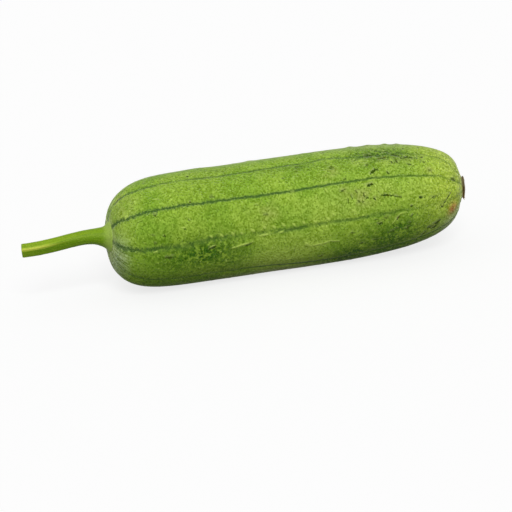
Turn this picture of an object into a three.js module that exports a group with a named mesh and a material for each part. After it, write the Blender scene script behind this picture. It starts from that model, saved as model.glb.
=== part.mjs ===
// A smooth sponge gourd (luffa), picked with a length of its stalk and lying on its side.
// Millimetres, +Z up. The stalk points along -X and the blossom end along +X, and the gourd
// rests on Z = 0 with the origin at the middle of its footprint.
import * as THREE from "three";

// Driving dimensions of the fruit.
const fruitLength = 196.3; // from the stalk's seat to the foot of the blossom nub, along the gourd
const fruitRadius = 31;
const taper = 0.013; // share by which the blossom end is fuller, and the stalk end slimmer
// How far each rounded end reaches, how quickly it fills out, and how flat it is at its pole.
const stalkShoulder = { length: 61, fill: 5, flatness: 2.8 };
const blossomShoulder = { length: 95, fill: 3.2, flatness: 3.35 };
const seatRadius = 7; // the flat place that the stalk sits on
const nub = { radius: 6.6, footRadius: 9, height: 1.6 }; // raised collar at the blossom end
const bow = 7; // how far the middle stands aside of a line between the two ends
const sag = 2.3; // how far the belly hangs below the two ends
const lean = { stalk: 6.5, blossom: 2.7 }; // degrees by which the top of each end leans to the blossom
const restDepth = 0.5; // flattening of the belly where the gourd lies on it

// Driving dimensions of the stalk and the blossom scar.
const stalk = { length: 45.9, radius: 3.7, flare: 3.2, flareReach: 4.35, ridge: 0.05, ridges: 5 };
const scar = { radius: 6.5, thickness: 1.4, rag: 0.07, notches: 7 };
const gap = 0.3; // clearance between two solids that touch

// Mesh fineness.
const fruitSides = 60;
const fruitRings = 44;
const stalkSides = 30;
const stalkRings = 22;
const stalkCrowding = 1.6; // draws the stalk's rings together in its flare
const scarSides = 28;

// The share of full width at a distance from a pole, for a rounded end.
function shoulderShare(distance, { length, fill, flatness }) {
  const left = THREE.MathUtils.clamp(1 - distance / length, 0, 1);
  return (1 - left ** fill) ** (1 / flatness);
}

// Runs from -1 at the stalk's seat to +1 at the blossom end.
function fromMiddle(along) {
  return (2 * along) / fruitLength - 1;
}

function fruitRadiusAt(along) {
  const stalkShare = shoulderShare(along, stalkShoulder);
  const blossomShare = shoulderShare(fruitLength - along, blossomShoulder);
  return fruitRadius * (1 + taper * fromMiddle(along)) * stalkShare * blossomShare;
}

// Where the middle of a cross-section lies: aside by the bow, and raised towards both ends by
// the sag of the belly.
function fruitMiddleAt(along) {
  const square = fromMiddle(along) ** 2;
  return new THREE.Vector3(along, bow * (1 - square), fruitRadius - restDepth + sag * square);
}

// How a cross-section is turned: it follows the bow, and leans.
function fruitTurnAt(along) {
  const heading = Math.atan((-4 * bow * fromMiddle(along)) / fruitLength);
  const leaning = THREE.MathUtils.lerp(lean.stalk, lean.blossom, along / fruitLength);
  return new THREE.Euler(0, THREE.MathUtils.degToRad(leaning), heading, "ZYX");
}

// Turns a profile of (radius, along) points into a closed body about the X axis.
function turned(profile, sides) {
  const points = profile.map(([radius, along]) => new THREE.Vector2(radius, along));
  const geometry = new THREE.LatheGeometry(points, sides);
  geometry.rotateZ(-Math.PI / 2);
  return geometry;
}

// Moves every vertex by a function of its place.
function reshape(geometry, move) {
  const position = geometry.getAttribute("position");
  const point = new THREE.Vector3();
  for (let i = 0; i < position.count; i++) {
    move(point.fromBufferAttribute(position, i));
    position.setXYZ(i, point.x, point.y, point.z);
  }
  geometry.computeVertexNormals();
  return geometry;
}

function finish(name, geometry, colour, roughness) {
  const material = new THREE.MeshStandardMaterial({ color: colour, roughness, metalness: 0 });
  const mesh = new THREE.Mesh(geometry, material);
  mesh.name = name;
  return mesh;
}

// The fruit: a blunt club, bowed a little to one side and flattened under its belly.
function makeFruit() {
  const profile = [
    [0, 0],
    [seatRadius, 0],
  ];
  for (let ring = 1; ring < fruitRings; ring++) {
    // Rings crowd together towards the two poles.
    const along = (fruitLength * (1 - Math.cos((Math.PI * ring) / fruitRings))) / 2;
    const radius = fruitRadiusAt(along);
    if (radius > nub.footRadius || along < fruitLength / 2) profile.push([radius, along]);
  }
  profile.push([nub.footRadius, fruitLength]);
  profile.push([nub.radius, fruitLength + nub.height]);
  profile.push([0, fruitLength + nub.height]);

  return reshape(turned(profile, fruitSides), (point) => {
    // The nub stands on the last cross-section of the fruit.
    const along = Math.min(point.x, fruitLength);
    point.x -= along;
    point.applyEuler(fruitTurnAt(along)).add(fruitMiddleAt(along));
    point.z = Math.max(point.z, 0);
  });
}

// The stalk: five shallow ridges, flared where it joins the fruit, cut square at its free end.
// It rises a little as it leaves the seat, then droops and swings aside to its free end.
function makeStalk() {
  const route = new THREE.CatmullRomCurve3([
    new THREE.Vector3(0, 0, 0),
    new THREE.Vector3(-0.14 * stalk.length, 0.1, 1.5),
    new THREE.Vector3(-0.34 * stalk.length, 0.7, 0.8),
    new THREE.Vector3(-0.62 * stalk.length, 2.3, -1.9),
    new THREE.Vector3(-0.84 * stalk.length, 4.2, -4.1),
    new THREE.Vector3(-stalk.length, 6, -5.1),
  ]);
  const profile = [[0, -stalk.length]];
  for (let ring = 0; ring <= stalkRings; ring++) {
    const fromSeat = stalk.length * (1 - ring / stalkRings) ** stalkCrowding;
    const radius = stalk.radius + stalk.flare * Math.exp(-fromSeat / stalk.flareReach);
    profile.push([radius, -fromSeat]);
  }
  profile.push([0, 0]);

  return reshape(turned(profile, stalkSides), (point) => {
    const angle = Math.atan2(point.z, point.y);
    const swell = 1 + stalk.ridge * Math.cos(stalk.ridges * angle);
    const middle = route.getPointAt(THREE.MathUtils.clamp(-point.x / stalk.length, 0, 1));
    point.y = point.y * swell + middle.y;
    point.z = point.z * swell + middle.z;
  });
}

// The blossom scar: a thin corky disc with a ragged rim and a dished face.
function makeScar() {
  const shares = [
    [0, 0],
    [0.9, 0],
    [1, 0.4],
    [0.86, 1],
    [0.45, 0.7],
    [0, 0.6],
  ];
  const profile = shares.map(([across, through]) => [across * scar.radius, through * scar.thickness]);
  return reshape(turned(profile, scarSides), (point) => {
    const angle = Math.atan2(point.z, point.y);
    const swell = 1 + scar.rag * Math.sin(scar.notches * angle) * Math.cos(2 * angle);
    point.y *= swell;
    point.z *= swell;
  });
}

const fruit = finish("gourd_body", makeFruit(), 0x86a83c, 0.5);
const stem = finish("stem", makeStalk(), 0x74972a, 0.5);
const blossomScar = finish("blossom_scar", makeScar(), 0x5b4630, 0.9);

// Stands a piece on the fruit's axis, at a distance beyond one of its cross-sections.
function standOff(mesh, along, distance) {
  mesh.rotation.copy(fruitTurnAt(along));
  mesh.position.copy(fruitMiddleAt(along));
  mesh.translateX(distance);
}

standOff(stem, 0, -gap);
standOff(blossomScar, fruitLength, nub.height + gap);

const gourd = new THREE.Group();
gourd.add(fruit, stem, blossomScar);

// The origin is brought under the middle of the whole gourd.
const box = new THREE.Box3().setFromObject(gourd, true);
const centre = box.getCenter(new THREE.Vector3());
gourd.position.set(-centre.x, -centre.y, 0);

export default gourd;
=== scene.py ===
# A smooth sponge gourd lying on its side, with a length of its stalk and its dried blossom scar.
# Lengths in the dictionaries are in millimetres and angles in degrees. Along runs from the stalk's
# seat (0) to the blossom end, and around is the angle up from the side that faces the camera.
import math
import random

import bpy
import numpy as np
from mathutils import Matrix, Vector, noise


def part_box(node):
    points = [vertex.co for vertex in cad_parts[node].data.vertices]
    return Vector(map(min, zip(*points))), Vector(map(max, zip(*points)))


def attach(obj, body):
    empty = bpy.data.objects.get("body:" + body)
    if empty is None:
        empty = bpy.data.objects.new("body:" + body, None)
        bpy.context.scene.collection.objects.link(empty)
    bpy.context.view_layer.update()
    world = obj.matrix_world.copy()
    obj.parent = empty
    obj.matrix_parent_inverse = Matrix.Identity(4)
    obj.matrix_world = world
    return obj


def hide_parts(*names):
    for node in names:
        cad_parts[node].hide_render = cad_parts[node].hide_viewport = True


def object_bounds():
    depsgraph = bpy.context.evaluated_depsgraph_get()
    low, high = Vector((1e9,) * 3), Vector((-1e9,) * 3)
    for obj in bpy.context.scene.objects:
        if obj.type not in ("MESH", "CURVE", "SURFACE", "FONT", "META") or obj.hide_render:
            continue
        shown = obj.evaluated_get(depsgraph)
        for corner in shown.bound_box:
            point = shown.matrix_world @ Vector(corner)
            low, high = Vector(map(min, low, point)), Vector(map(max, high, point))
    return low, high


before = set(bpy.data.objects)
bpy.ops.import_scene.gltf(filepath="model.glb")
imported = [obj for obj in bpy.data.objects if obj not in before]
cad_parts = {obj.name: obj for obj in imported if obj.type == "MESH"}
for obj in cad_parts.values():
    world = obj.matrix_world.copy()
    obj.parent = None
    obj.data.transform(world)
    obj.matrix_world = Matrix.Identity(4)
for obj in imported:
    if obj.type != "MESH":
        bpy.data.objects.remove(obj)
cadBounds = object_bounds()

mm = 0.001


# Selecting, and shapes pulled out of a disc

def workOn(piece):
    if bpy.context.object and bpy.context.object.mode == "EDIT":
        bpy.ops.object.mode_set(mode="OBJECT")
    bpy.ops.object.select_all(action="DESELECT")
    piece.select_set(True)
    bpy.context.view_layer.objects.active = piece


def selectFaces(piece, wanted):
    # leaves the piece in edit mode, with only the wanted faces selected
    workOn(piece)
    bpy.ops.object.mode_set(mode="EDIT")
    bpy.ops.mesh.select_mode(type="FACE")
    bpy.ops.mesh.select_all(action="DESELECT")
    bpy.ops.object.mode_set(mode="OBJECT")
    for face in piece.data.polygons:
        face.select = wanted(face)
    bpy.ops.object.mode_set(mode="EDIT")


def pulledOut(name, sides, rings):
    # a disc at the first ring, extruded along X from ring to ring and resized at each
    along, radius = rings[0]
    bpy.ops.object.select_all(action="DESELECT")
    bpy.ops.mesh.primitive_circle_add(vertices=sides, radius=radius * mm, fill_type="NGON",
                                      location=(along * mm, 0, 0), rotation=(0, math.pi / 2, 0))
    piece = bpy.context.object
    piece.name = name
    bpy.ops.object.transform_apply(location=True, rotation=True, scale=True)
    bpy.ops.object.mode_set(mode="EDIT")
    bpy.ops.mesh.select_all(action="SELECT")
    for nextAlong, nextRadius in rings[1:]:
        step = ((nextAlong - along) * mm, 0, 0)
        bpy.ops.mesh.extrude_region_move(TRANSFORM_OT_translate={"value": step})
        ratio = nextRadius / radius
        bpy.ops.transform.resize(value=(1, ratio, ratio), center_override=(nextAlong * mm, 0, 0))
        along, radius = nextAlong, nextRadius
    bpy.ops.mesh.select_all(action="SELECT")
    bpy.ops.mesh.normals_make_consistent(inside=False)
    bpy.ops.object.mode_set(mode="OBJECT")
    return piece


def insetCap(piece, end, steps):
    # insets the flat cap at one end of X, each step given as (thickness, depth)
    edge = end * max(end * vertex.co.x for vertex in piece.data.vertices)
    selectFaces(piece, lambda face: abs(face.center.x - edge) < 0.01 * mm and abs(face.normal.x) > 0.9)
    for thickness, depth in steps:
        bpy.ops.mesh.inset(thickness=thickness * mm, depth=depth * mm)
    bpy.ops.mesh.poke()
    bpy.ops.object.mode_set(mode="OBJECT")


def smoothed(piece, levels):
    workOn(piece)
    subdivision = piece.modifiers.new("smooth", "SUBSURF")
    subdivision.levels = levels
    subdivision.render_levels = levels
    bpy.ops.object.modifier_apply(modifier=subdivision.name)
    bpy.ops.object.shade_smooth()


def placesOf(piece):
    places = np.empty(len(piece.data.vertices) * 3)
    piece.data.vertices.foreach_get("co", places)
    return places.reshape(-1, 3) / mm


def normalsOf(piece):
    normals = np.empty(len(piece.data.vertices) * 3)
    piece.data.vertices.foreach_get("normal", normals)
    return normals.reshape(-1, 3)


def movePlaces(piece, places):
    piece.data.vertices.foreach_set("co", (places * mm).ravel())
    piece.data.update()


def paint(piece, name, values):
    # a number or a vector for every vertex, which the materials read by name
    kind, field = ("FLOAT", "value") if values.ndim == 1 else ("FLOAT_VECTOR", "vector")
    attribute = piece.data.attributes.new(name, kind, "POINT")
    attribute.data.foreach_set(field, values.astype(np.float32).ravel())


def softStep(value, low, high):
    share = np.clip((value - low) / (high - low), 0, 1)
    return share * share * (3 - 2 * share)


def roughField(places, size, seed):
    # smooth noise between about -1 and 1, with lumps of one size
    shift = Vector((seed * 17.3, seed * 5.1, seed * 9.7))
    return np.array([noise.noise(Vector(place) / size + shift) for place in places])


def pimples(places, size, fill, share, seed):
    # scattered domes, 0 to 1 high: size is their spacing by axis, and share is how many cells have one
    shift = Vector((seed * 7.7, seed * 3.1, seed * 11.9))
    heights = np.zeros(len(places))
    for index, place in enumerate(places):
        distances, centres = noise.voronoi(Vector(place / size) + shift)
        luck = noise.cell(centres[0] * 31.7)
        if luck < share and distances[0] < fill:
            heights[index] = (1 - (distances[0] / fill) ** 2) ** 2 * (0.4 + 0.6 * luck / share)
    return heights


# The form that all three pieces share

form = {
    "length": 196.3, "radius": 31, "taper": 0.013,
    "stalkShoulder": {"reach": 61, "fill": 5, "flatness": 2.8},
    "blossomShoulder": {"reach": 95, "fill": 3.2, "flatness": 3.35},
    "seatRadius": 7, "bow": 7, "sag": 2.3, "lean": (6.5, 2.7), "restDepth": 0.5,
    "collarFoot": 9, "collarRadius": 6.6, "collarHeight": 1.6,
}


def shoulderShare(distance, shoulder):
    left = np.clip(1 - distance / shoulder["reach"], 0, 1)
    return (1 - left ** shoulder["fill"]) ** (1 / shoulder["flatness"])


def fromMiddle(along):
    # -1 at the stalk's seat, 1 at the blossom end
    return 2 * along / form["length"] - 1


def fruitRadiusAt(along):
    shares = (shoulderShare(along, form["stalkShoulder"])
              * shoulderShare(form["length"] - along, form["blossomShoulder"]))
    return form["radius"] * (1 + form["taper"] * fromMiddle(along)) * shares


def bent(places):
    # straight places moved onto the gourd's bowed and sagging middle line, turned and leaning with it
    along = np.clip(places[:, 0], 0, form["length"])
    beyond = places[:, 0] - along
    heading = np.arctan(-4 * form["bow"] * fromMiddle(along) / form["length"])
    leaning = np.radians(np.interp(along, (0, form["length"]), form["lean"]))
    forward = beyond * np.cos(leaning) + places[:, 2] * np.sin(leaning)
    upward = places[:, 2] * np.cos(leaning) - beyond * np.sin(leaning)
    square = fromMiddle(along) ** 2
    x = along + forward * np.cos(heading) - places[:, 1] * np.sin(heading)
    y = forward * np.sin(heading) + places[:, 1] * np.cos(heading) + form["bow"] * (1 - square)
    z = upward + form["radius"] - form["restDepth"] + form["sag"] * square
    return np.stack([x, y, z], 1)


def boxMiddle(low, high):
    middle = (np.array(low) + np.array(high)) / 2
    middle[2] = 0
    return middle


def findSeat():
    # how far the plain bent fruit has to move to fill the box that the frame gives it
    along = form["length"] * (1 - np.cos(np.linspace(0, math.pi, 181))) / 2
    radius = fruitRadiusAt(along)
    along = np.append(along, form["length"] + form["collarHeight"])
    radius = np.append(radius, form["collarRadius"])
    angle = np.linspace(0, 2 * math.pi, 121)
    outline = np.stack([np.repeat(along, len(angle)), np.outer(radius, np.cos(angle)).ravel(),
                        np.outer(radius, np.sin(angle)).ravel()], 1)
    skin = bent(outline)
    low, high = [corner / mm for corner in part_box("gourd_body")]
    return boxMiddle(low, high) - boxMiddle(skin.min(0), skin.max(0))


seatPlace = findSeat()


def inPlace(places):
    return bent(places) + seatPlace


# The fruit

fruit = {
    "sides": 32, "rings": 42, "levels": 3,
    "lump": 0.3, "lumpSize": 30,
    "ribHeight": 0.35, "ribWidth": 4.5, "veinGroove": 0.25, "veinWander": 0.2,
    # the ribs and the veins' wander come in between these radii, away from the two poles
    "ribRadii": (8, 26),
    "nubSize": (2.3, 3.0, 3.0), "nubFill": 0.55, "nubHeight": 0.11,
    "wartSize": (5.0, 6.5, 6.5), "wartFill": 0.26, "wartShare": 0.45, "wartHeight": 0.26,
    "markDepth": 0.35, "weltHeight": 0.3, "folds": 13, "foldDepth": 0.3, "collarHeight": 1.0,
    "hiddenDarkMarks": 60, "hiddenPaleMarks": 24, "seed": 11,
}

# Each vein's angle around, its darkness and its half width, all as (along, value). The first four
# show in the opening view.
veins = [
    {"around": [(0, 104), (3, 93), (6, 83), (12, 76), (20, 73.5), (45, 72.5), (64, 71), (90, 72.5),
                (108, 72.5), (119, 75), (130, 72), (160, 70), (175, 70), (185, 66), (190, 59),
                (196, 48)],
     "dark": [(0, 0.75), (28, 0.65), (33, 0.4), (39, 0.45), (47, 0.7), (130, 0.75), (150, 0.6),
              (185, 0.45)],
     "half": [(0, 0.85), (30, 0.8), (60, 0.74), (120, 0.58)]},
    {"around": [(0, 54), (1.5, 46), (3, 43.5), (5, 41.3), (9, 39.4), (16, 39.2), (26, 39.6), (60, 39),
                (90, 38), (120, 39.5), (150, 40), (183, 36), (193, 28)],
     "dark": [(0, 0.95), (110, 0.92), (178, 0.85), (183, 0.55), (187, 0.35), (191, 0.5)],
     "half": [(0, 0.95), (50, 0.75), (98, 0.66), (196, 0.46)]},
    {"around": [(0, 2), (1, -1), (2, -2), (4, -2.8), (12, -3), (20, -1.5), (36, -2.5), (46, 1),
                (58, 1.5), (66, 0.5), (100, -0.5), (116, 1), (135, 0.5), (155, 1.5), (175, 0)],
     "dark": [(0, 0.85), (20, 0.75), (36, 0.5), (44, 0.6), (60, 0.42), (72, 0.25), (80, 0.5),
              (98, 0.68), (110, 0.6), (117, 0.42), (125, 0.62), (150, 0.7), (168, 0.25)],
     "half": [(0, 1.15), (45, 1.1), (98, 0.95), (130, 0.7)]},
    {"around": [(0, -46), (74, -43), (103, -49.5), (120, -52), (160, -47.5), (196, -44)],
     "dark": [(0, 0.5), (60, 0.6), (90, 1)], "half": [(0, 0.6)]},
    {"around": [(0, -86), (80, -89), (196, -84)], "dark": [(0, 0.7), (196, 0.4)], "half": [(0, 0.5)]},
    {"around": [(0, -127), (60, -124), (140, -129), (196, -124)],
     "dark": [(0, 0.9), (100, 0.9), (196, 0.6)], "half": [(0, 0.8), (196, 0.45)]},
    {"around": [(0, -166), (90, -170), (196, -164)],
     "dark": [(0, 0.8), (196, 0.4)], "half": [(0, 0.5)]},
    {"around": [(0, 150), (70, 154), (150, 150), (196, 153)],
     "dark": [(0, 1), (196, 0.7)], "half": [(0, 0.8), (196, 0.5)]},
    {"around": [(0, 114), (60, 117), (130, 112), (196, 112)],
     "dark": [(0, 0.8), (196, 0.4)], "half": [(0, 0.4)]},
]

# Blemishes: along, around, half length, half width, turn from lengthwise, strength.
darkMarks = [
    # the stalk half
    (4.5, 88.5, 1, 0.7, -10, 1), (12, 31, 1.3, 0.3, 10, 0.5), (18, 13, 1.2, 0.4, -7, 0.4),
    (19, 85, 0.8, 0.6, 0, 0.7), (19, 4, 0.8, 0.6, 0, 0.6), (20, 34, 1, 0.9, 0, 0.8),
    (23, 51, 1, 0.35, -25, 0.7), (24, 11, 0.9, 0.6, 30, 0.85), (27, -13, 2.3, 1, -3, 0.9),
    (35.5, 15, 1.1, 0.5, 0, 0.6), (38, 24, 1, 0.35, -48, 0.7), (40, 42, 0.7, 0.6, 0, 0.8),
    (43, 79, 0.8, 0.8, 0, 1), (51, -8, 1.8, 0.7, 20, 0.9), (53, 44, 1.3, 0.8, 0, 0.5),
    (71.3, -10.2, 1.6, 0.5, 10, 0.8), (77, 29, 1, 0.4, 0, 0.5), (82, 18, 1.9, 0.5, -5, 0.5),
    (94, 54, 1.1, 0.4, 0, 0.6), (98, -24, 3.8, 0.3, 88, 0.35),
    # the blossom half, above the second vein
    (102, 61, 0.9, 0.6, 20, 0.6), (103, 68, 1.6, 0.7, 20, 0.6), (109.5, 99, 3.2, 0.6, 0, 0.6),
    (120.7, 90, 1.6, 0.8, 30, 0.6), (122, 60, 2, 0.6, 4, 0.6), (122, 57, 1.2, 0.45, -20, 0.6),
    (128, 43, 1.3, 0.45, -7, 0.6), (136, 66, 1.7, 0.6, 27, 0.7), (136.6, 99, 1.6, 0.7, 0, 0.7),
    (142, 56, 1.6, 0.8, 46, 0.7), (144, 71.5, 2.8, 1.4, 3, 0.9), (145, 48, 2.4, 0.8, 42, 0.95),
    (145, 100, 2.4, 0.6, 0, 0.7), (147, 49, 1.2, 0.6, -30, 0.8), (151, 64.5, 2.5, 0.8, 12, 0.9),
    (153, 44, 1.3, 0.5, -52, 0.85), (154, 76, 1.6, 0.9, -7, 0.95), (155.8, 99, 1.4, 0.7, 0, 0.6),
    (156, 57, 1.4, 0.6, -68, 0.85), (158, 69.5, 1.6, 1, 10, 0.85), (159, 57.5, 1.2, 0.6, -90, 0.8),
    (160.5, 67, 1.2, 0.8, 0, 0.8), (162, 62, 0.8, 0.6, 0, 0.8), (162, 100, 2, 0.7, 0, 0.8),
    (164.6, 81, 1, 0.8, 0, 0.8), (165, 64, 1.3, 1, 0, 0.9), (166, 52, 1.9, 0.5, -18, 0.7),
    (168, 62.5, 1, 0.7, 0, 0.85), (168.4, 93.5, 1.8, 0.8, 0, 0.8), (170.8, 62, 0.9, 0.7, 0, 0.85),
    (173.5, 88, 0.9, 0.6, 20, 0.7), (174, 64, 0.9, 0.6, -30, 0.9), (174, 55.5, 0.7, 0.6, 0, 0.7),
    (177, 56.5, 0.8, 0.5, 0, 0.6), (177, 44, 1.6, 0.7, -36, 0.5),
    # the blossom half, between the second and third veins
    (126, 31, 1.5, 0.55, 14, 0.8), (129, 20, 1, 0.35, 88, 0.6), (131, 23, 1.2, 0.4, -70, 0.7),
    (134, 28, 1, 0.45, -60, 0.6), (135, 17, 0.8, 0.5, 60, 0.6), (138, 24, 1.5, 0.4, -88, 0.8),
    (140, 20, 0.9, 0.5, -20, 0.8), (142, 33, 2.3, 0.8, 12, 1), (144, 18, 1, 0.5, -30, 0.9),
    (151, 20, 4, 0.55, -8, 1), (157, 17, 3.2, 0.4, -14, 0.8), (165, 4, 0.8, 0.65, 0, 0.9),
    (171, 12, 1.4, 0.65, -6, 1), (179, 10, 3, 0.75, 6, 0.55), (187.4, 7, 3.2, 0.42, 52, 0.8),
    (190.7, 32.2, 1.7, 0.9, -18, 0.75),
    # the blossom half, below the third vein
    (114, -40, 1.7, 1, 12, 0.6), (131, -14, 1, 0.8, 0, 0.6), (137, -30, 1.7, 0.9, -12, 0.7),
    (145, -4, 2.6, 0.3, -16, 0.6), (145, -28, 2.3, 0.6, -3, 0.7), (147, -9, 1.5, 0.75, 15, 1),
    (151, -4, 1.8, 0.9, -8, 0.55), (154, -21, 1.1, 0.8, 0, 0.7), (157, -6, 1.2, 0.7, 48, 0.95),
    (157, -19, 1.1, 0.8, 0, 0.7), (163, -21, 1.3, 0.9, 20, 0.7), (164, -15, 0.9, 0.7, 0, 0.6),
    (165, -7, 0.9, 0.7, 0, 0.5), (173, -39.5, 1.7, 0.6, 40, 0.9), (176, -31, 1.5, 1, -30, 0.9),
    (179, -34.5, 1.6, 0.9, 30, 0.85), (180.5, -27.5, 2.3, 1, 14, 0.95), (183.3, -6.5, 0.9, 0.7, 0, 0.9),
    (184.8, -1.5, 0.9, 0.5, 30, 0.9), (188.5, -6.3, 1.6, 0.4, 15, 0.5),
]
paleMarks = [
    # the stalk half
    (3.5, 97, 1, 0.8, 0, 0.7), (4.2, 80, 1, 0.5, -20, 0.7), (6.2, 43.5, 1, 1, 0, 0.8),
    (19, -5, 1.5, 0.45, 20, 0.8), (22, 52, 1.7, 0.4, -12, 0.7), (35, 17, 1.5, 0.42, -6, 0.85),
    (51, -6, 1.6, 0.4, 20, 0.8), (67.5, -9.2, 5.8, 0.55, 10, 1), (80, -2, 2.8, 0.6, 4, 0.9),
    (90, -1.5, 1.6, 0.5, 0, 0.9), (90, 33.5, 1.6, 0.3, 65, 0.7), (94, -36, 3.3, 0.34, -5, 0.6),
    (95, 31, 1.9, 0.3, -50, 0.7), (98, 38, 1.1, 0.7, -5, 0.35),
    # the blossom half, above the third vein
    (111, 29, 1, 0.4, 80, 0.7), (115, 43, 0.9, 0.4, 80, 0.7), (117, 34, 1.4, 0.36, -60, 0.7),
    (117.5, 42.5, 0.9, 0.4, 80, 0.7), (120, 9, 1.1, 0.5, -50, 0.9), (120, 42.5, 0.9, 0.4, 80, 0.7),
    (132, 9, 1.6, 0.45, -35, 0.7), (139, 64, 1.4, 0.6, 30, 0.6), (165, 19, 0.9, 0.7, 0, 0.6),
    (166, 32, 0.9, 0.35, -65, 0.6),
    # the blossom half, below the third vein
    (105.2, -19, 2.2, 0.65, -45, 1), (110.5, -21.2, 3.4, 0.55, 4, 1), (116, -20, 2.8, 0.55, 20, 1),
    (121, -20, 2.8, 0.5, -10, 0.8), (147, -6.5, 1.4, 0.4, 15, 0.6), (156, -6.5, 3.3, 0.34, 46, 0.9),
    (160, -1.5, 1.9, 0.34, 4, 0.8),
]
# a row of pale pimples just above the third vein
paleRow = {
    "places": [(50, 4.5), (56, 4), (62.4, 4), (67.5, 3.5), (73.7, 4.5), (80.5, 6), (86, 5), (91.4, 5.5),
               (97.4, 4), (103, 5), (109.5, 4), (117, 5)],
    "half": (1.25, 0.65), "turn": -45, "strength": 0.8,
}

# Broad patches: along, around, reach lengthwise, reach crosswise, strength. The deep ones are dark
# green, and low on the near side painted shadow; the pale ones are light green, and partly painted
# light low on the near side; the whitish ones are a painted rim light along the outline.
deepAndShadowPatches = [
    # the ones well below the third vein on the near side are painted shadow; the rest are darker green skin
    (20, -6, 6, 4, 0.5), (30, 10, 22, 8, 0.2), (40, -60, 30, 12, 0.6), (41, -8, 5, 4, 0.4),
    (45, 55, 22, 20, 0.16), (45, 12, 18, 10, 0.14), (46, -14, 25, 11, 0.95), (58, 82, 8, 4, 0.35),
    (60, -27, 14, 9, 0.75), (69, 25, 5, 4, 0.35), (100, 66, 22, 3.5, 0.4), (104, 66, 5, 2.5, 0.7),
    (128, -58, 18, 7, 1), (132, -43, 12, 7, 1), (140, 57, 6, 3, 0.4), (150, 70, 20, 7.5, 1),
    (154, -32, 22, 11, 0.85), (154, 60, 4, 3, 0.4), (155, -5, 4, 4, 0.6), (156, -64, 28, 13, 1),
    (158, -23, 5, 4, 0.6), (159, -18, 11, 5, 0.9), (173, -9, 8, 4, 0.55), (173, 24, 4, 3, 0.4),
    (175, 6, 7, 5, 0.25),
    # on the far side and underneath
    (30, -140, 22, 12, 0.4), (60, 150, 30, 14, 0.4), (140, -150, 30, 12, 0.5), (150, 130, 20, 10, 0.4),
]
tanPatches = [
    (5, 88, 2.2, 2.2, 0.7), (7, 56, 6, 8, 0.25), (83, 20, 6, 6, 0.4), (92, -63, 24, 4, 0.3),
    (121, 53, 5, 3, 0.6), (127, 31, 3, 2.5, 0.5), (137, 22, 9, 5, 0.6), (165, 61, 6, 3, 0.25),
    (177, 44, 2.5, 2, 0.5), (179, -31, 3, 1.5, 0.5), (183, -3, 3, 2, 0.4),
    # on the far side and underneath
    (60, -145, 7, 6, 0.4), (110, 160, 8, 6, 0.4), (150, -160, 9, 7, 0.4),
]
speckPatches = [
    (30, 30, 25, 20, 0.12), (138, 22, 10, 6, 1), (150, 30, 45, 20, 0.25), (152, 70, 20, 8, 1),
    (160, -22, 16, 6, 0.9), (170, 60, 9, 3, 0.8), (179, -31, 4, 2, 1),
    # on the far side and underneath
    (50, -150, 35, 20, 0.4), (60, 120, 40, 20, 0.3), (120, 160, 40, 20, 0.6), (130, -110, 45, 25, 0.6),
    (140, 110, 30, 16, 0.6),
]
paleAndLitPatches = [
    # lighter skin, and painted light low on the near side from the middle to the blossom end
    (3, 10, 5, 8, 0.4), (3, -25, 5, 8, 0.4), (4, 52, 3, 8, 0.5), (8, 48, 6, 8, 0.25),
    (88, -36, 18, 10, 0.7), (89, 15, 4, 3, 0.35), (92, -9, 18, 5, 0.4), (102, -24, 12, 6, 0.5),
    (122, 30, 12, 10, 0.35), (125, 50, 45, 10, 0.15), (125, 12, 30, 8, 0.35), (138, 61, 6, 3, 0.6),
    (145, 20, 4, 3, 0.35), (146, 42, 4, 3, 0.5), (150, 29, 9, 5, 0.5), (153, 57, 6, 3, 0.6),
    (165, 48, 20, 12, 0.3), (176, 88, 20, 7, 0.4), (176, 73, 9, 5, 0.5), (178, 28, 20, 12, 0.4),
    (178, -40, 7, 5, 0.4), (183, -12, 4, 3, 0.45), (186, -40, 6, 4, 0.6), (187, 27, 4, 3, 0.5),
    (190, 2, 3, 4, 0.6), (191, -28, 6, 7, 0.9),
]
paintedRimLightPatches = [
    # painted rim light: a whitish pale laid along parts of the outline, at the top and along the bottom
    (82, 103, 16, 4, 0.3), (85, -62, 24, 4, 0.7), (150, 96, 38, 6, 0.2), (178, -72, 12, 5, 0.7),
    (192, -50, 8, 9, 0.8), (193, 100, 9, 20, 0.85), (195, 70, 5, 8, 0.3),
]
blush = [(189.6, -17, 2.7, 3.4, 0.8)]

# Low swellings that show on the outline: along, around, reach lengthwise, reach crosswise, height.
swellings = [
    (50, 103, 8, 6, 0.4), (80, 104, 2, 1.6, 0.35), (109.7, 97, 3, 1.7, 0.4), (136.4, 103, 2, 1.7, 0.5),
    (146.4, 103, 2.4, 1.7, 0.45), (155.8, 103, 1.6, 1.5, 0.55), (162.6, 102, 1.6, 1.5, 0.5),
    (168, 94, 1.4, 1.3, 0.35),
]


def fruitRings():
    # rings that lie evenly far apart on the skin, and then the collar at the blossom end
    along = form["length"] * (1 - np.cos(np.linspace(0, math.pi, 4001))) / 2
    radius = fruitRadiusAt(along)
    run = np.concatenate(([0], np.cumsum(np.hypot(np.diff(along), np.diff(radius)))))
    start = np.interp(form["seatRadius"], radius[:200], run[:200])
    end = run[-1] - form["collarFoot"]
    wanted = np.interp(np.linspace(start, end, fruit["rings"]), run, along)
    rings = [(place, float(fruitRadiusAt(place))) for place in wanted[:-1]]
    rings.append((form["length"] - 0.15, form["collarFoot"]))
    rings.append((form["length"] + 0.5 * fruit["collarHeight"], form["collarRadius"] + 0.4))
    rings.append((form["length"] + fruit["collarHeight"], form["collarRadius"] - 0.2))
    return rings


def turnFrom(around, degrees):
    # the way round from an angle, between -pi and pi
    return (around - np.radians(degrees) + math.pi) % (2 * math.pi) - math.pi


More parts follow.
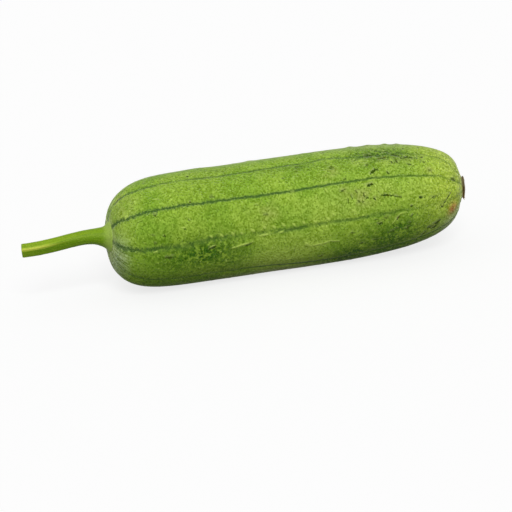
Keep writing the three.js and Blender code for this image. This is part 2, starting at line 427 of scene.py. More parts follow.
def patchField(along, around, radius, patches):
    # how strong the strongest of the patches is at each place
    field = np.zeros(len(along))
    for placeAlong, angle, reachAlong, reachAround, strength in patches:
        lengthwise = (along - placeAlong) / reachAlong
        crosswise = radius * turnFrom(around, angle) / reachAround
        field = np.maximum(field, strength * np.exp(-(lengthwise ** 2 + crosswise ** 2)))
    return field


def veinField(along, around, radius):
    # for the nearest vein: how far aside it lies, its half width, and how dark it is there
    randoms = random.Random(fruit["seed"])
    field = np.zeros((len(along), 3))
    field[:, 0] = 99
    # a vein's darkness ends short of the line midway to the next one, where the sides swap
    limit = np.minimum(4, 0.25 * radius)
    for vein in veins:
        angle, dark, half = (np.interp(along, *zip(*vein[key])) for key in ("around", "dark", "half"))
        wander = np.zeros(len(along))
        for wave in (9, 17, 31):
            wave *= randoms.uniform(0.8, 1.2)
            wander += 0.5 * np.sin(2 * math.pi * along / wave + randoms.uniform(0, 6))
        wander = fruit["veinWander"] * wander * softStep(radius, *fruit["ribRadii"])
        away = turnFrom(around, angle) * radius + wander
        nearer = np.abs(away) < np.abs(field[:, 0])
        dark *= 1 - softStep(np.abs(away), 0.6 * limit, limit)
        found = np.stack([away, half, dark], 1)
        field[nearer] = found[nearer]
    return field


def markField(along, around, radius, marks):
    # for the nearest mark: where in it a place lies, as shares of its half length and half width, and
    # its strength
    field = np.full((len(along), 3), 9.0)
    field[:, 2] = 0
    nearest = np.full(len(along), 99.0)
    for markAlong, angle, halfLength, halfWidth, turn, strength in marks:
        lengthwise = along - markAlong
        crosswise = radius * turnFrom(around, angle)
        cos, sin = math.cos(math.radians(turn)), math.sin(math.radians(turn))
        down = lengthwise * cos + crosswise * sin
        aside = crosswise * cos - lengthwise * sin
        pastEnd = np.maximum(np.abs(down) - halfLength, 0)
        pastSide = np.maximum(np.abs(aside) - halfWidth, 0)
        outside = np.hypot(pastEnd, pastSide)
        distance = np.hypot(down / halfLength, aside / halfWidth)
        inside = (outside < 1.5) & (distance < nearest)
        nearest = np.where(inside, distance, nearest)
        fade = strength * (1 - softStep(outside, 0.8, 1.4))
        found = np.stack([down / halfLength, aside / halfWidth, fade], 1)
        field[inside] = found[inside]
    return field


def hiddenMarks(randoms, count, strength):
    # more blemishes on the sides that the opening view doesn't show
    marks = []
    for _ in range(count):
        marks.append((randoms.uniform(15, 185), randoms.uniform(112, 290), randoms.uniform(0.8, 2.6),
                      randoms.uniform(0.35, 0.8), randoms.gauss(0, 25), strength * randoms.uniform(0.6, 1)))
    return marks


def pressed(field):
    # a rounded height, 0 to 1, from a mark field
    return field[:, 2] * np.exp(-(field[:, 0] ** 2 + field[:, 1] ** 2) / 1.5)


def makeFruit():
    body = pulledOut("gourdBody", fruit["sides"], fruitRings())
    insetCap(body, -1, [(2.2, 0)])
    insetCap(body, 1, [(2.0, -0.1)])
    smoothed(body, fruit["levels"])

    # the fruit is still straight here, so along and around are easy to read off
    places = placesOf(body)
    along = places[:, 0].copy()
    around = np.arctan2(places[:, 2], -places[:, 1])
    radius = np.hypot(places[:, 1], places[:, 2])
    vein = veinField(along, around, radius)
    away = np.abs(vein[:, 0])

    # subdividing draws the rings in a little, so between the poles the skin is set back on its outline
    first, last = 0.3, form["length"] - 0.5
    onSkin = (along > first) & (along < last) & (radius > 8.5)
    swell = np.where(onSkin, fruitRadiusAt(np.clip(along, first, last)) - radius, 0)
    swell += fruit["lump"] * roughField(places, fruit["lumpSize"], seed=1) * softStep(radius, 8, 20)
    rib = np.exp(-(away / fruit["ribWidth"]) ** 2)
    swell -= fruit["ribHeight"] * rib * softStep(radius, *fruit["ribRadii"])
    swell += patchField(along, around, radius, swellings)
    folds = np.cos(fruit["folds"] * around + 0.6) * (1 - softStep(form["length"] - along, 2, 16))
    swell -= fruit["foldDepth"] * folds * softStep(radius, 7, 10)
    ratio = 1 + swell / np.maximum(radius, 6)
    places[:, 1] *= ratio
    places[:, 2] *= ratio
    places = inPlace(places)
    movePlaces(body, places)
    print("gourdBody: shaped,", len(places), "vertices")

    normals = normalsOf(body)
    randoms = random.Random(fruit["seed"])
    hiddenDark = hiddenMarks(randoms, fruit["hiddenDarkMarks"], 1)
    hiddenPale = hiddenMarks(randoms, fruit["hiddenPaleMarks"], 0.8)
    row = [(*place, *paleRow["half"], paleRow["turn"], paleRow["strength"]) for place in paleRow["places"]]
    darkField = markField(along, around, radius, darkMarks + hiddenDark)
    paleField = markField(along, around, radius, paleMarks + row + hiddenPale)
    nubs = pimples(places, np.array(fruit["nubSize"]), fruit["nubFill"], share=1, seed=2)
    warts = pimples(places, np.array(fruit["wartSize"]), fruit["wartFill"], fruit["wartShare"], seed=5)
    groove = vein[:, 2] * np.exp(-(away / (1.3 * vein[:, 1])) ** 2)
    lift = np.maximum(fruit["nubHeight"] * nubs * (1 - 0.7 * groove), fruit["wartHeight"] * warts)
    lift -= fruit["veinGroove"] * groove
    lift += fruit["weltHeight"] * pressed(paleField) - fruit["markDepth"] * pressed(darkField)
    places = places + normals * (lift * softStep(radius, 7, 11))[:, None]
    places[:, 2] = np.maximum(places[:, 2], 0)
    movePlaces(body, places)

    paint(body, "along", along)
    paint(body, "spoke", np.stack([np.cos(around), np.sin(around), along / 100], 1))
    paint(body, "vein", vein)
    paint(body, "darkMark", darkField)
    paint(body, "paleMark", paleField)
    paint(body, "nub", nubs)
    paint(body, "wart", warts)
    patchLists = {"deep": deepAndShadowPatches, "tan": tanPatches, "pale": paleAndLitPatches, "paintedRimLight": paintedRimLightPatches,
                  "speckled": speckPatches, "pink": blush}
    for name, patches in patchLists.items():
        paint(body, name, patchField(along, around, radius, patches))
    print("gourdBody:", len(veins), "veins,", len(darkMarks) + len(paleMarks), "placed blemishes")
    return body


# The stalk

stalk = {
    "sides": 30, "rings": 28, "levels": 2, "length": 45.9,
    "radius": 3.7, "sunk": 0.9, "cutEdge": 0.25, "crowding": 1.5,
    # how much wider it is at the seat, and how far down the stalk that reaches
    "flares": [(2.7, 5.2), (1.5, 1.1)],
    # the same for its upper side alone
    "topFlare": (1.1, 2.4),
    "ridges": 5, "ridgeTurn": 18, "ridge": 0.26, "fibre": 0.1, "grit": 0.05,
    # its rise and its swing aside, at shares of its length
    "rise": [(0, 0), (0.14, 1.5), (0.34, 0.8), (0.62, -1.9), (0.84, -4.1), (1, -5.1)],
    "aside": [(0, 0), (0.14, 0.1), (0.34, 0.7), (0.62, 2.3), (0.84, 4.2), (1, 6)],
}


def smoothThrough(points):
    # a curve that follows the points closely, without a kink
    shares, values = zip(*points)
    return np.poly1d(np.polyfit(shares, values, 4))


def stalkRadiusAt(fromSeat):
    return stalk["radius"] + sum(wider * math.exp(-fromSeat / reach) for wider, reach in stalk["flares"])


def makeStalk():
    length = stalk["length"]
    edge = stalk["cutEdge"]
    rings = [(-length, stalk["radius"] - edge), (-length + edge, stalk["radius"])]
    for step in range(1, stalk["rings"] + 1):
        # the rings lie closer together towards the seat
        fromSeat = length * (1 - step / stalk["rings"]) ** stalk["crowding"]
        rings.append((-fromSeat, stalkRadiusAt(fromSeat)))
    rings.append((stalk["sunk"], stalkRadiusAt(0) - 0.2))
    piece = pulledOut("stalk", stalk["sides"], rings)
    insetCap(piece, -1, [(0.5, 0), (0.5, -0.25), (1.2, -0.1)])
    insetCap(piece, 1, [(2, 0)])
    smoothed(piece, stalk["levels"])

    places = placesOf(piece)
    along = places[:, 0].copy()
    angle = np.arctan2(places[:, 2], -places[:, 1])
    radius = np.hypot(places[:, 1], places[:, 2])
    share = np.clip(-along / length, 0, 1)
    # the ridges are sharper than the hollows between them
    ridge = 1 - 2 * np.abs(np.sin(stalk["ridges"] / 2 * (angle - math.radians(stalk["ridgeTurn"]))))
    fibre = roughField(np.stack([np.cos(angle) * 9, np.sin(angle) * 9, along / 9], 1), size=1, seed=3)
    lift = stalk["ridge"] * ridge * softStep(share, 0.2, 0.7) + stalk["fibre"] * fibre
    lift += stalk["grit"] * roughField(places, size=1.1, seed=4)
    wider, reach = stalk["topFlare"]
    lift += wider * np.exp(along / reach) * np.clip(np.sin(angle), 0, 1)
    ratio = 1 + lift * softStep(radius, 2.2, 3.3) / np.maximum(radius, 1)
    offset = places[:, 1:] * ratio[:, None]
    rise, aside = smoothThrough(stalk["rise"]), smoothThrough(stalk["aside"])
    settled = softStep(-along, 0.5, 7) / length
    # each section is leaned square to the stalk's own line
    leaning = aside.deriv()(share) * offset[:, 0] + rise.deriv()(share) * offset[:, 1]
    places[:, 0] = along + settled * leaning
    places[:, 1] = aside(share) - aside(0) + offset[:, 0]
    places[:, 2] = rise(share) - rise(0) + offset[:, 1]
    movePlaces(piece, inPlace(places))
    paint(piece, "ridge", ridge)
    paint(piece, "fromSeat", -along)
    paint(piece, "inner", 1 - softStep(radius, 2.0, 3.5))
    paint(piece, "strand", np.stack([np.cos(angle), np.sin(angle), along / 100], 1))
    print("stalk:", len(places), "vertices")
    return piece


# The blossom scar

scar = {
    "sides": 42, "levels": 2, "radius": 6.5, "thickness": 0.6, "sunk": 0.8, "dome": 1.2,
    "stand": 1.5,  # how far beyond the foot of the collar
    "rag": 0.5, "crack": 0.25,
    # scraps of the dried flower at the rim: around, length, width
    "tags": [(-72, 1.2, 1.5), (-50, 0.9, 1.2), (-100, 0.9, 1.3), (20, 0.8, 0.9), (150, 1.1, 1.0),
             (75, 0.7, 1.0)],
}


def makeTag(foot, turn, length, width, index):
    # a small block drawn out, narrowed and curled, then turned to grow outward from the rim
    bpy.ops.object.select_all(action="DESELECT")
    bpy.ops.mesh.primitive_cube_add(size=1, location=(0, 0, 0))
    tag = bpy.context.object
    tag.name = "tag" + str(index)
    tag.scale = (0.5 * mm, width * mm, 0.5 * mm)
    bpy.ops.object.transform_apply(location=False, rotation=False, scale=True)
    selectFaces(tag, lambda face: face.normal.z > 0.9)
    for step in range(3):
        curl = 0.2 * length * math.sin(index + step)
        drift = 0.05 * length * (step - 1)
        push = (curl * mm, drift * mm, length / 3 * mm)
        bpy.ops.mesh.extrude_region_move(TRANSFORM_OT_translate={"value": push})
        bpy.ops.transform.resize(value=(0.85, 0.75, 1))
    bpy.ops.object.mode_set(mode="OBJECT")
    smoothed(tag, 2)
    tag.matrix_world = Matrix.Translation(foot * mm) @ Matrix.Rotation(math.pi / 2 - turn, 4, "X")
    workOn(tag)
    bpy.ops.object.transform_apply(location=True, rotation=True, scale=True)
    return tag


def makeScar():
    radius, thick = scar["radius"], scar["thickness"]
    rings = [(-scar["sunk"], radius * 0.8), (0, radius * 0.88), (thick * 0.35, radius * 0.98),
             (thick * 0.75, radius * 0.96), (thick, radius * 0.84)]
    piece = pulledOut("blossomScar", scar["sides"], rings)
    insetCap(piece, -1, [(1.5, 0)])
    insetCap(piece, 1, [(0.5, 0.05), (0.9, -0.25), (1.1, -0.2), (1.1, 0.15)])
    smoothed(piece, scar["levels"])
    places = placesOf(piece)
    angle = np.arctan2(places[:, 2], -places[:, 1])
    away = np.hypot(places[:, 1], places[:, 2])
    # waves along the rim, finer nicks in it, and cracks that run out to it
    level = np.zeros(len(angle))
    wave = roughField(np.stack([np.cos(angle) * 2.2, np.sin(angle) * 2.2, level], 1), size=1, seed=6)
    nick = roughField(np.stack([np.cos(angle) * 7, np.sin(angle) * 7, places[:, 0] / 2], 1), size=1, seed=7)
    crack = roughField(np.stack([np.cos(angle) * 11, np.sin(angle) * 11, away / 6], 1), size=1, seed=8)
    rim = softStep(away, radius * 0.45, radius) * scar["rag"] * (0.8 * wave + 0.7 * nick)
    places[:, 1:] *= (1 + rim / radius)[:, None]
    front = softStep(places[:, 0], thick * 0.3, thick * 0.8)
    places[:, 0] += front * scar["crack"] * (crack + 0.5 * roughField(places, size=0.8, seed=9))
    places[:, 0] += scar["dome"] * (1 - softStep(away, 0, radius * 1.1))
    movePlaces(piece, places)

    tags = []
    for index, (turn, length, width) in enumerate(scar["tags"]):
        turn = math.radians(turn)
        foot = Vector((0.5, -math.cos(turn) * radius * 0.88, math.sin(turn) * radius * 0.88))
        tags.append(makeTag(foot, turn, length, width, index))
    workOn(piece)
    for tag in tags:
        tag.select_set(True)
    bpy.ops.object.join()
    places = placesOf(piece)
    angle = np.arctan2(places[:, 2], -places[:, 1])
    paint(piece, "rimward", np.hypot(places[:, 1], places[:, 2]) / radius)
    paint(piece, "upward", places[:, 2] / radius)
    paint(piece, "fan", np.stack([np.cos(angle), np.sin(angle), places[:, 0] / 10], 1))
    places[:, 0] += form["length"] + scar["stand"]
    movePlaces(piece, inPlace(places))
    print("blossomScar:", len(places), "vertices,", len(tags), "dried tags")
    return piece


# Materials

class Wire:
    # a node's output in a material, so that node maths can be written as an expression

    def __init__(self, tree, socket=None):
        self.tree = tree
        self.socket = socket

    def add(self, kind, settings=None, sockets=None, output=0):
        node = self.tree.nodes.new(kind)
        for name, value in (settings or {}).items():
            setattr(node, name, value)
        for name, value in (sockets or {}).items():
            if isinstance(value, Wire):
                self.tree.links.new(value.socket, node.inputs[name])
            elif isinstance(value, tuple) and node.inputs[name].type == "RGBA":
                node.inputs[name].default_value = (*value, 1)
            else:
                node.inputs[name].default_value = value
        return Wire(self.tree, node.outputs[output])

    def maths(self, operation, *values):
        return self.add("ShaderNodeMath", {"operation": operation}, dict(enumerate(values)))

    def __add__(self, other):
        return self.maths("ADD", self, other)

    def __sub__(self, other):
        return self.maths("SUBTRACT", self, other)

    def __mul__(self, other):
        return self.maths("MULTIPLY", self, other)

    def __truediv__(self, other):
        return self.maths("DIVIDE", self, other)

    def __rsub__(self, other):
        return self.maths("SUBTRACT", other, self)

    def __rtruediv__(self, other):
        return self.maths("DIVIDE", other, self)

    __radd__ = __add__
    __rmul__ = __mul__

    def larger(self, other):
        return self.maths("MAXIMUM", self, other)

    def size(self):
        return self.maths("ABSOLUTE", self)

    def wave(self):
        return self.maths("SINE", self) * 0.5 + 0.5

    def root(self):
        return self.maths("SQRT", self)

    def hypot(self, other):
        return (self * self + other * other).root()

    def step(self, low, high):
        # 0 at low and 1 at high, whichever of them is the larger
        return self.add("ShaderNodeMapRange", {"interpolation_type": "SMOOTHSTEP"},
                        {"Value": self, "From Min": low, "From Max": high})

    def over(self, below, above):
        # a mask lays one colour over another
        return self.add("ShaderNodeMix", {"data_type": "RGBA"}, {0: self, 6: below, 7: above}, output=2)

    def brighter(self, factor):
        return self.add("ShaderNodeVectorMath", {"operation": "SCALE"}, {0: self, 3: factor})

    def scaled(self, size):
        return self.add("ShaderNodeVectorMath", {"operation": "MULTIPLY"}, {0: self, 1: size})

    def counted(self, lump):
        # a place counted in lumps, whose size is given for each axis
        return self.scaled(tuple(1 / side for side in lump))

    def noise(self, scale=1.0, detail=2.0, roughness=0.5):
        # smooth noise from 0 to 1, mostly near 0.5, with scale lumps to each unit
        return self.add("ShaderNodeTexNoise", {},
                        {"Vector": self, "Scale": scale, "Detail": detail, "Roughness": roughness})

    def cells(self, output="Distance", randomness=1.0):
        sockets = {"Vector": self, "Scale": 1.0, "Randomness": randomness}
        return self.add("ShaderNodeTexVoronoi", {}, sockets, output)

    def parts(self):
        split = self.add("ShaderNodeSeparateXYZ", {}, {0: self}).socket.node
        return [Wire(self.tree, split.outputs[axis]) for axis in range(3)]

    def painted(self, name, output="Fac"):
        return self.add("ShaderNodeAttribute", {"attribute_name": name}, {}, output)


def colour(red, green, blue):
    # from the 0 to 255 of a colour picker to the linear values that the shader takes
    values = [value / 255 for value in (red, green, blue)]
    return tuple(value / 12.92 if value < 0.04045 else ((value + 0.055) / 1.055) ** 2.4 for value in values)


def newMaterial(name):
    material = bpy.data.materials.new(name)
    material.use_nodes = True
    tree = material.node_tree
    return material, Wire(tree), tree.nodes["Principled BSDF"]


def millimetres(pen):
    return pen.add("ShaderNodeTexCoord", output="Object").scaled((1000, 1000, 1000))


def bump(pen, height, distance):
    return pen.add("ShaderNodeBump", {}, {"Height": height, "Distance": distance * mm})


def plug(shader, pen, **wires):
    for name, wire in wires.items():
        pen.tree.links.new(wire.socket, shader.inputs[name.replace("_", " ")])


def lay(look, tone, mask, layer, tint=None):
    # lays a layer over a tone where its mask is, in the layer's own colour unless another is given
    return (mask * look["laid"][layer]).over(tone, tint or look[layer])


gourdSkin = {
    "deep": colour(129, 170, 45), "mid": colour(149, 185, 57), "pale": colour(180, 208, 88),
    "shade": colour(52, 99, 12), "paintedRimLight": colour(204, 218, 158),
    "yellow": colour(196, 220, 80), "yellowDeep": colour(168, 196, 58), "collar": colour(158, 150, 62),
    "seatPale": colour(200, 220, 160), "seatBlue": colour(56, 86, 50), "seatRing": colour(190, 212, 120),
    "tan": colour(156, 166, 84), "pink": colour(192, 100, 66),
    # the dash pale is a painted highlight on the raised dashes and pimples
    "litDash": colour(198, 227, 96), "pit": colour(88, 126, 22),
    "vein": colour(50, 86, 38), "thinVein": colour(66, 104, 18), "fringe": colour(92, 128, 64),
    # the pale on the upper edge of the dark marks is a painted highlight
    "mark": colour(56, 82, 8), "markBrown": colour(84, 80, 18), "markLipHighlight": colour(182, 202, 116),
    "welt": colour(198, 226, 104),
    # what the fine grain multiplies the colour by
    "grainDark": (0.5, 0.57, 0.14), "grainPale": (1.5, 1.4, 1.94),
    # lengthwise and crosswise sizes
    "grainSize": (0.7, 0.85, 0.85), "dashSize": (1.8, 2.6, 2.6), "pitSize": (1.2, 1.5, 1.5),
    "speckSize": (2.4, 2.1, 2.1),
    # from where to where along the gourd its ends change colour, and its veins thin out
    "yellowing": (160, 192), "collarEdge": (195.2, 197.3), "seatStreaks": (9, 0.5),
    "seatEdge": (1.6, 0.1), "veinThinning": (110, 175),
    # how strongly each layer is laid over the ones before it
    "laid": {"lighter": 0.12, "streak": 0.15, "pale": 0.9, "yellow": 0.8, "collar": 0.85, "seat": 0.85,
             "seatRing": 0.7, "pit": 0.25, "litDash": 0.36, "nub": 0.12, "wart": 0.45, "fringe": 0.34,
             "vein": 0.85, "speck": 0.8, "markLipHighlight": 0.5, "welt": 0.95},
    # how much they raise the skin, or sink it for pits, veins and dark marks
    "relief": {"litDash": 0.35, "grain": 0.6, "pit": 0.3, "vein": 0.3, "mark": 0.4, "welt": 0.4},
    "specular": 0.06, "sheen": 0.75, "sheenRoughness": 0.2, "sheenTint": colour(240, 246, 214),
    "roughness": (0.5, 0.66), "bump": 0.4,
}


def cloudedTone(look, pen, place, spoke):
    # broad clouding, streaks that run lengthwise, the patches of other greens, painted shadow, and a
    # painted rim light
    cloud = place.noise(0.05, 2, 0.5)
    lighter = place.noise(0.19, 2, 0.5).step(0.46, 0.7)
    streak = spoke.scaled((10, 10, 2.6)).noise(1, 3, 0.6)
    tone = cloud.step(0.38, 0.62).over(look["deep"], look["mid"])
    tone = lay(look, tone, lighter, "lighter", look["pale"])
    tone = lay(look, tone, streak.step(0.5, 0.7), "streak", look["deep"])
    # deep patches: darker green skin, and painted shadow low on the near side
    mottle = place.noise(0.42, 3, 0.7).step(0.4, 0.54) * 0.85 + 0.22
    tone = (pen.painted("deep") * mottle).over(tone, look["shade"])
    # pale patches: lighter skin, and in places low on the near side painted light
    tone = lay(look, tone, pen.painted("pale"), "pale")
    # the painted rim light along the outline
    return pen.painted("paintedRimLight").over(tone, look["paintedRimLight"])


def tintEnds(look, tone, along, spoke, upward):
    # the blossom end is yellower, with fine lines that run to the scar
    ray = spoke.scaled((13, 13, 1.2)).noise(1, 3, 0.6)
    yellow = ray.step(0.4, 0.62).over(look["yellowDeep"], look["yellow"])
    yellowed = along.step(*look["yellowing"]) * upward.step(-0.8, 0.2)
    tone = lay(look, tone, yellowed, "yellow", yellow)
    tone = lay(look, tone, along.step(*look["collarEdge"]), "collar")
    # by the stalk the skin is streaked pale and blue-green, the most on its lower side
    fine = spoke.scaled((19, 19, 2)).noise(1, 3, 0.7)
    seat = fine.step(0.38, 0.54).over(look["seatBlue"], look["seatPale"])
    streaked = along.step(*look["seatStreaks"]) * upward.step(0.6, -0.5)
    tone = lay(look, tone, streaked, "seat", seat)
    return lay(look, tone, along.step(*look["seatEdge"]), "seatRing")


def stain(look, pen, place, tone):
    # tan patches, and the red blush
    tan = pen.painted("tan") * place.noise(0.19, 2, 0.5).step(0.3, 0.56)
    pink = pen.painted("pink") * place.noise(0.8, 2, 0.5).step(0.15, 0.42)
    return pink.over(tan.over(tone, look["tan"]), look["pink"])


def addGrain(look, place, luck, nub, wart, tone):
    # fine grain, and pale dashes that run round the fruit over small pits: the dashes are raised a little,
    # and their pale is a painted highlight
    laid, relief = look["laid"], look["relief"]
    grain = luck * 0.8 + place.noise(2.6, 2, 0.8) * 0.3 - 0.05
    dashes = place.counted(look["dashSize"]).cells(randomness=0.8).step(0.38, 0.12)
    litDash = dashes * place.noise(0.3, 2, 0.6).step(0.34, 0.6)
    pit = place.counted(look["pitSize"]).cells().step(0.26, 0.06)
    tone = lay(look, tone, pit, "pit")
    tone = lay(look, tone, litDash, "litDash")
    # the nubs and warts get the same painted highlight on their tops
    pimple = (nub.step(0.5, 0.95) * laid["nub"]).larger(wart.step(0.45, 0.95) * laid["wart"])
    tone = pimple.over(tone, look["litDash"])
    tone = tone.scaled(grain.over(look["grainDark"], look["grainPale"]))
    return tone, litDash * relief["litDash"] + grain * relief["grain"] - pit * relief["pit"]


def addVeins(look, pen, place, along, luck, nub, tone):
    # the veins, their edges broken by the pimples
    away, half, dark = pen.painted("vein", "Vector").parts()
    jag = (luck - 0.5) * 0.8 + (place.noise(0.7, 3, 0.8) - 0.5) * 2
    jag = jag * (along.step(90, 20) * 0.5 + 0.5)
    reach = (away.size() + jag * half) / half
    line = reach.step(1.4, 0.45) * dark * (1 - nub.step(0.4, 1) * 0.35)
    # the fainter a vein is, the more often it breaks off
    broken = place.noise(0.22, 3, 0.7).step(0.5, 0.62) * (1 - dark) * 2.2
    uneven = place.noise(1.2, 2, 0.7).step(0.34, 0.5) * 0.35 + 0.65
    line = line * (1 - broken).larger(0) * uneven
    fringe = reach.step(2.6, 0.9) * dark
    tone = lay(look, tone, fringe, "fringe")
    green = along.step(*look["veinThinning"]).over(look["vein"], look["thinVein"])
    return lay(look, tone, line, "vein", green), line


def addMarks(look, pen, place, luck, tone):
    # specks, dark marks with a painted highlight on their upper lip, and pale healed scratches
    relief = look["relief"]
    distort = (luck - 0.5) * 0.7 + (place.noise(0.8, 3, 0.8) - 0.5) * 2
    speckPlace = place.counted(look["speckSize"])
    chosen = speckPlace.cells("Color").parts()[0].step(0.35, 0.6)
    speck = (speckPlace.cells() + distort * 0.15).step(0.34, 0.2) * chosen * pen.painted("speckled")
    tone = lay(look, tone, speck, "speck", look["mark"])
    down, aside, strength = pen.painted("darkMark", "Vector").parts()
    # a painted highlight on the lip above each dark mark, off to one side
    rim = ((down + 0.2) * 0.85).hypot((aside - 1.1) * 0.7) + distort
    rim = rim.step(1.2, 0.7) * place.noise(0.5, 2, 0.5).step(0.38, 0.54) * strength
    tone = lay(look, tone, rim, "markLipHighlight")
    mark = (down.hypot(aside) + distort).step(1.2, 0.6) * strength
    brown = place.noise(0.35, 2, 0.5).step(0.55, 0.68)
    tone = mark.over(tone, brown.over(look["mark"], look["markBrown"]))
    down, aside, strength = pen.painted("paleMark", "Vector").parts()
    welt = (down.hypot(aside) + distort).step(1.25, 0.6) * strength
    tone = lay(look, tone, welt, "welt")
    return tone, mark, welt * relief["welt"] - (mark + speck) * relief["mark"]


def makeSkin():
    look = gourdSkin
    material, pen, shader = newMaterial("gourdSkin")
    place = millimetres(pen)
    nub, wart, along = pen.painted("nub"), pen.painted("wart"), pen.painted("along")
    spoke = pen.painted("spoke", "Vector")
    upward = spoke.parts()[1]
    luck = place.counted(look["grainSize"]).cells("Color").parts()[0]
    tone = cloudedTone(look, pen, place, spoke)
    tone = tintEnds(look, tone, along, spoke, upward)
    tone = stain(look, pen, place, tone)
    tone, grainRelief = addGrain(look, place, luck, nub, wart, tone)
    tone, line = addVeins(look, pen, place, along, luck, nub, tone)
    tone, mark, markRelief = addMarks(look, pen, place, luck, tone)

    low, high = look["roughness"]
    roughness = place.noise(0.6, 3, 0.6) * (high - low) + low
    roughness = roughness + mark * 0.2 + upward.step(-0.4, -0.9) * 0.25
    relief = grainRelief - line * look["relief"]["vein"] + markRelief
    plug(shader, pen, Base_Color=tone, Roughness=roughness, Normal=bump(pen, relief, look["bump"]))
    shader.inputs["Specular IOR Level"].default_value = look["specular"]
    shader.inputs["Sheen Weight"].default_value = look["sheen"]
    shader.inputs["Sheen Roughness"].default_value = look["sheenRoughness"]
    shader.inputs["Sheen Tint"].default_value = (*look["sheenTint"], 1)
    return material


stalkSkin = {
    # the wax colour is a painted highlight
    "top": colour(144, 176, 32), "deep": colour(92, 134, 4), "highlightStreak": colour(208, 220, 84),
    "rust": colour(160, 140, 30), "flare": colour(172, 198, 96), "speck": colour(182, 204, 78),
    "cut": colour(204, 208, 146), "cutRim": colour(120, 150, 50),
    "speckSize": (1.2, 0.8, 0.8),
    "laid": {"underside": 0.45, "highlightStreak": 0.9, "rust": 0.5, "speck": 0.4, "flare": 0.65},
    "relief": {"fibre": 0.7, "speck": 0.3},
    "specular": 0.15, "roughness": (0.4, 0.58), "bump": 0.2,
}


def makeStalkSkin():
    look = stalkSkin
    relief = look["relief"]
    material, pen, shader = newMaterial("stalkGreen")
    place = millimetres(pen)
    ridge, fromSeat, inner = pen.painted("ridge"), pen.painted("fromSeat"), pen.painted("inner")
    strand = pen.painted("strand", "Vector")
    front, upward = strand.parts()[:2]
    fibre = strand.scaled((9, 9, 1.8)).noise(1, 4, 0.7)
    lines = (fibre - 0.5) * (fromSeat.step(6, 22) * 0.8 + 0.2) + 0.5
    tone = lines.step(0.34, 0.64).over(look["deep"], look["top"])
    # painted shade: the stalk's lower side is darkened
    underside = upward.step(0.6, 0.1) * fromSeat.step(46, 34)
    tone = lay(look, tone, underside, "underside", look["deep"])
    # a painted highlight streak above the lower ridge, on the side towards the front, and rust along the
    # ridge itself
    streak = upward.step(0.05, 0.25) * upward.step(0.72, 0.42) * front.step(0, 0.5)
    streak = streak * fromSeat.step(25, 37) * fibre.step(0.32, 0.52)
    tone = lay(look, tone, streak, "highlightStreak")
    tone = lay(look, tone, ridge.step(0.7, 0.98) * fromSeat.step(17, 30), "rust")
    dots = place.counted(look["speckSize"]).cells().step(0.34, 0.12)
    tone = lay(look, tone, dots, "speck")
    tone = lay(look, tone, fromSeat.step(5, 0.6), "flare")
    cutFace = inner.step(0.2, 0.8) * fromSeat.step(30, 40)
    tone = cutFace.over(tone, place.noise(2.2, 3, 0.6).step(0.3, 0.7).over(look["cutRim"], look["cut"]))
    tone = tone.brighter((place.noise(1.2, 3, 0.75) - 0.5) * 0.9 + 1)
    low, high = look["roughness"]
    height = lines * relief["fibre"] + dots * relief["speck"]
    plug(shader, pen, Base_Color=tone, Roughness=fibre * (high - low) + low,
         Normal=bump(pen, height, look["bump"]))
    shader.inputs["Specular IOR Level"].default_value = look["specular"]
    return material


driedCork = {
    "dark": colour(60, 48, 16), "mid": colour(126, 102, 56), "grey": colour(166, 152, 118),
    "red": colour(194, 150, 58),
    "laid": {"red": 0.9, "grey": 0.8, "flecks": 0.5, "rings": 0.25, "tips": 0.8},
    "relief": {"rays": 0.7, "grit": 0.4, "rings": 0.15},
    "roughness": (0.7, 0.9), "bump": 0.4,
}


def makeCork():
    look = driedCork
    relief = look["relief"]
    material, pen, shader = newMaterial("driedCork")
    place = millimetres(pen)
    rimward, upward, fan = pen.painted("rimward"), pen.painted("upward"), pen.painted("fan", "Vector")
    rays = fan.scaled((9, 9, 4)).noise(1, 4, 0.7)
    blotch = place.noise(0.45, 3, 0.6)
    height = upward + rays + (blotch - 0.5) * 1.2
    rings = (rimward * 26 + blotch * 5).wave()
    tone = (rays * 0.6 + blotch * 0.4).step(0.38, 0.6).over(look["dark"], look["mid"])
    tone = lay(look, tone, height.step(0.4, -0.1) * rimward.step(0.4, 0.9), "red")
    tone = lay(look, tone, height.step(0.7, 1.2) * rimward.step(0.3, 0.9), "grey")
    tone = lay(look, tone, place.noise(1.4, 4, 0.7).step(0.54, 0.72), "flecks", look["grey"])
    tone = lay(look, tone, rings, "rings", look["dark"])
    tone = lay(look, tone, rimward.step(1.1, 1.25), "tips", look["dark"])
    low, high = look["roughness"]
    grit = place.noise(2.5, 4, 0.7)
    standing = rays * relief["rays"] + grit * relief["grit"] + rings * relief["rings"]
    plug(shader, pen, Base_Color=tone, Roughness=rays * (high - low) + low,
         Normal=bump(pen, standing, look["bump"]))
    return material


# The studio

studio = {
    "azimuth": -8.67, "elevation": 18.29, "roll": 5.7, "distance": 1003.4, "fieldOfView": 15.93,
    "aim": (2.62, -5.67, -20.46),  # from the middle of the gourd's box
    "fill": 0.46, "sunPower": 1.75, "sunSpread": 28, "sunAzimuth": -2, "sunElevation": 40,
    "paper": 0.95, "bouncedPaper": 0.18, "paperGlow": 0.72, "glow": 1.06,
}


def awayFrom(azimuth, elevation):
    # the way out from the middle, where azimuth 0 is the side towards -Y
    turn, rise = math.radians(azimuth), math.radians(elevation)
    return Vector((math.sin(turn) * math.cos(rise), -math.cos(turn) * math.cos(rise), math.sin(rise)))


def facing(way):
    return way.to_track_quat("Z", "Y").to_matrix().to_4x4()


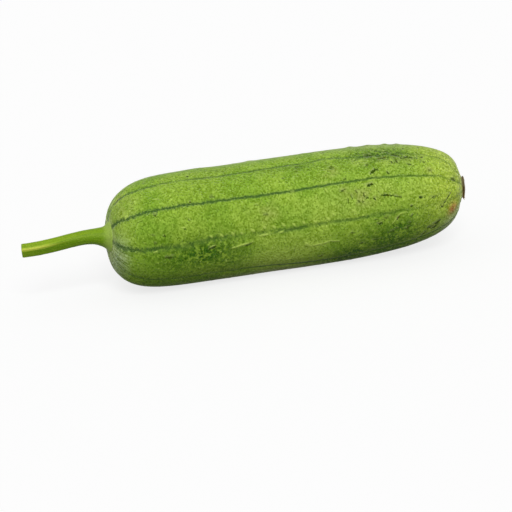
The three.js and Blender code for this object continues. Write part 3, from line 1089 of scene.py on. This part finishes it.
def makeCamera():
    low, high = cadBounds
    aim = (Vector(low) + Vector(high)) / 2 + Vector(studio["aim"]) * mm
    way = awayFrom(studio["azimuth"], studio["elevation"])
    lens = bpy.data.cameras.new("camera")
    lens.angle = math.radians(studio["fieldOfView"])
    camera = bpy.data.objects.new("camera", lens)
    bpy.context.scene.collection.objects.link(camera)
    stand = Matrix.Translation(aim + way * studio["distance"] * mm)
    camera.matrix_world = stand @ facing(way) @ Matrix.Rotation(-math.radians(studio["roll"]), 4, "Z")
    bpy.context.scene.camera = camera


def seenDirectly(pen):
    # 1 for what the camera sees, straight or in a reflection
    path = pen.add("ShaderNodeLightPath", output="Is Camera Ray")
    outputs = path.socket.node.outputs
    glossy = Wire(pen.tree, outputs["Is Glossy Ray"])
    through = Wire(pen.tree, outputs["Is Transmission Ray"])
    return path.larger(glossy).larger(through)


def makeLights():
    sun = bpy.data.lights.new("sun", "SUN")
    sun.energy = studio["sunPower"]
    sun.angle = math.radians(studio["sunSpread"])
    lamp = bpy.data.objects.new("sun", sun)
    lamp.matrix_world = facing(awayFrom(studio["sunAzimuth"], studio["sunElevation"]))
    bpy.context.scene.collection.objects.link(lamp)

    world = bpy.data.worlds.new("studio")
    bpy.context.scene.world = world
    world.use_nodes = True
    pen = Wire(world.node_tree)
    background = world.node_tree.nodes["Background"]
    background.inputs["Color"].default_value = (1, 1, 1, 1)
    strength = seenDirectly(pen) * (1 - studio["fill"]) + studio["fill"]
    plug(background, pen, Strength=strength)


def makeFloor():
    # white paper: the camera sees it lit evenly except for the gourd's shadow
    bpy.ops.object.select_all(action="DESELECT")
    bpy.ops.mesh.primitive_plane_add(size=12, location=(0, 0, 0))
    floor = bpy.context.object
    floor.name = "floor"
    material = bpy.data.materials.new("floorWhite")
    material.use_nodes = True
    pen = Wire(material.node_tree)
    nodes = material.node_tree.nodes
    nodes.remove(nodes["Principled BSDF"])
    seen = seenDirectly(pen)
    white, grey = (studio["paper"],) * 3, (studio["bouncedPaper"],) * 3
    paper = pen.add("ShaderNodeBsdfDiffuse", {}, {"Color": seen.over(grey, white)})
    glow = pen.add("ShaderNodeEmission", {}, {"Color": (1.0, 1.0, 1.0), "Strength": studio["glow"]})
    mixed = pen.add("ShaderNodeMixShader", {}, {0: seen * studio["paperGlow"], 1: paper, 2: glow})
    plug(nodes["Material Output"], pen, Surface=mixed)
    floor.data.materials.append(material)


def dress(piece, material, node):
    piece.data.materials.clear()
    piece.data.materials.append(material)
    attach(piece, "root")
    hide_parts(node)


makeCamera()
dress(makeFruit(), makeSkin(), "gourd_body")
dress(makeStalk(), makeStalkSkin(), "stem")
dress(makeScar(), makeCork(), "blossom_scar")
makeFloor()
makeLights()
bpy.context.scene.view_settings.view_transform = "Standard"
